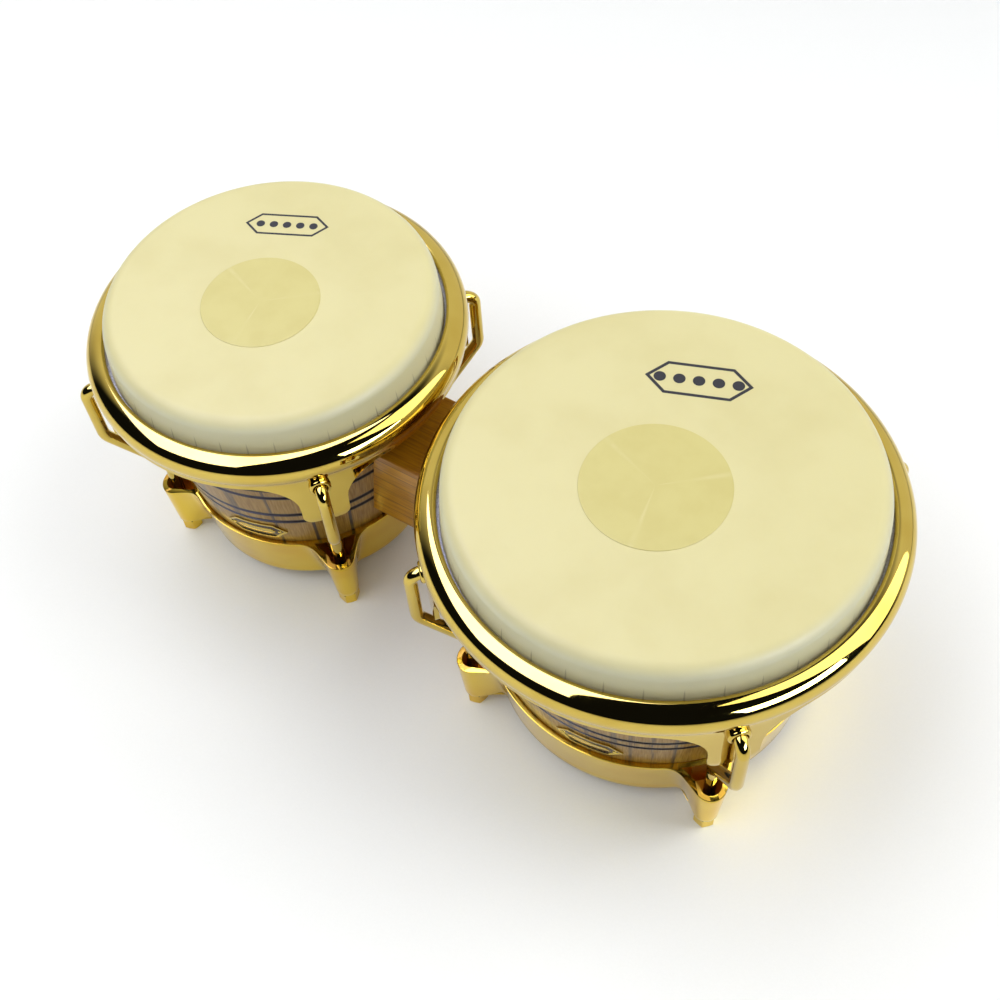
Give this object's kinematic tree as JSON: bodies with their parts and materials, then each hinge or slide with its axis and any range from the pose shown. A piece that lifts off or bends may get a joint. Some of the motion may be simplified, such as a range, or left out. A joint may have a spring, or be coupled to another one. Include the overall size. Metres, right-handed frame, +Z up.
{
  "type": "bongo drums",
  "caption": "Pair of bongo drums: tapered wooden shells, stretched heads under polished rims with tuning hooks and nuts, joined by a wooden block.",
  "frame": {"origin": "on the floor, under the middle of the whole pair (bottom centre of its box)", "axes": "+Z up; +X from the small drum to the large drum; -Y is the side with the badges"},
  "size_m": [0.4714, 0.248, 0.1839],
  "materials": {
    "shell_wood": "lacquered staves, greyish tan with dark streaks",
    "block_wood": "lacquered amber-brown laminations",
    "head_film": "cream synthetic skin, soft sheen",
    "centre_patch": "darker yellow film",
    "gold_plate": "mirror-polished gold plating",
    "badge_plate": "plain gold badge with a dark field",
    "plated_steel": "zinc-plated steel"
  },
  "bodies": {
    "base": {"small_shell": "shell_wood", "small_head_film": "head_film", "small_centre_patch": "centre_patch", "small_bottom_ring": "gold_plate", "small_washers": "gold_plate", "small_badge": "badge_plate", "small_badge_pins": "badge_plate", "small_saddle": "plated_steel", "large_shell": "shell_wood", "large_head_film": "head_film", "large_centre_patch": "centre_patch", "large_bottom_ring": "gold_plate", "large_washers": "gold_plate", "large_badge": "badge_plate", "large_badge_pins": "badge_plate", "large_saddle": "plated_steel", "centre_block": "block_wood", "block_bolts": "plated_steel", "block_bolt_nuts": "plated_steel"},
    "small_rim_set": {"small_rim": "gold_plate", "small_flesh_hoop": "plated_steel", "small_hook_1": "gold_plate", "small_hook_2": "gold_plate", "small_hook_3": "gold_plate", "small_hook_4": "gold_plate"},
    "small_nut_1": {"small_nut_1": "gold_plate"},
    "small_nut_2": {"small_nut_2": "gold_plate"},
    "small_nut_3": {"small_nut_3": "gold_plate"},
    "small_nut_4": {"small_nut_4": "gold_plate"},
    "large_rim_set": {"large_rim": "gold_plate", "large_flesh_hoop": "plated_steel", "large_hook_1": "gold_plate", "large_hook_2": "gold_plate", "large_hook_3": "gold_plate", "large_hook_4": "gold_plate"},
    "large_nut_1": {"large_nut_1": "gold_plate"},
    "large_nut_2": {"large_nut_2": "gold_plate"},
    "large_nut_3": {"large_nut_3": "gold_plate"},
    "large_nut_4": {"large_nut_4": "gold_plate"}
  },
  "joints": [
    {"name": "small_rim_slide", "type": "slide", "parent": "base", "child": "small_rim_set", "axis": [0, 0, 1], "range_m": [-0.003, 0.004], "deforming": ["small_head_film"]},
    {"name": "small_nut_1_turn", "type": "hinge", "parent": "base", "child": "small_nut_1", "pos_m": [-0.07264, 0.06287, 0.0044], "axis": [0, 0, 1], "range_deg": [-1160, 870]},
    {"name": "small_nut_2_turn", "type": "hinge", "parent": "base", "child": "small_nut_2", "pos_m": [-0.19212, 0.05661, 0.0044], "axis": [0, 0, 1], "range_deg": [-1160, 870]},
    {"name": "small_nut_3_turn", "type": "hinge", "parent": "base", "child": "small_nut_3", "pos_m": [-0.18586, -0.06287, 0.0044], "axis": [0, 0, 1], "range_deg": [-1160, 870]},
    {"name": "small_nut_4_turn", "type": "hinge", "parent": "base", "child": "small_nut_4", "pos_m": [-0.06638, -0.05661, 0.0044], "axis": [0, 0, 1], "range_deg": [-1160, 870]},
    {"name": "large_rim_slide", "type": "slide", "parent": "base", "child": "large_rim_set", "axis": [0, 0, 1], "range_m": [-0.003, 0.004], "deforming": ["large_head_film"]},
    {"name": "large_nut_1_turn", "type": "hinge", "parent": "base", "child": "large_nut_1", "pos_m": [0.18543, 0.07368, 0.0044], "axis": [0, 0, 1], "range_deg": [-1160, 870]},
    {"name": "large_nut_2_turn", "type": "hinge", "parent": "base", "child": "large_nut_2", "pos_m": [0.03807, 0.07368, 0.0044], "axis": [0, 0, 1], "range_deg": [-1160, 870]},
    {"name": "large_nut_3_turn", "type": "hinge", "parent": "base", "child": "large_nut_3", "pos_m": [0.03807, -0.07368, 0.0044], "axis": [0, 0, 1], "range_deg": [-1160, 870]},
    {"name": "large_nut_4_turn", "type": "hinge", "parent": "base", "child": "large_nut_4", "pos_m": [0.18543, -0.07368, 0.0044], "axis": [0, 0, 1], "range_deg": [-1160, 870]}
  ],
  "couplings": [
    {"joint": "small_nut_1_turn", "follows": "small_rim_slide", "rad_per_m": -5026.5},
    {"joint": "small_nut_2_turn", "follows": "small_rim_slide", "rad_per_m": -5026.5},
    {"joint": "small_nut_3_turn", "follows": "small_rim_slide", "rad_per_m": -5026.5},
    {"joint": "small_nut_4_turn", "follows": "small_rim_slide", "rad_per_m": -5026.5},
    {"joint": "large_nut_1_turn", "follows": "large_rim_slide", "rad_per_m": -5026.5},
    {"joint": "large_nut_2_turn", "follows": "large_rim_slide", "rad_per_m": -5026.5},
    {"joint": "large_nut_3_turn", "follows": "large_rim_slide", "rad_per_m": -5026.5},
    {"joint": "large_nut_4_turn", "follows": "large_rim_slide", "rad_per_m": -5026.5}
  ]
}
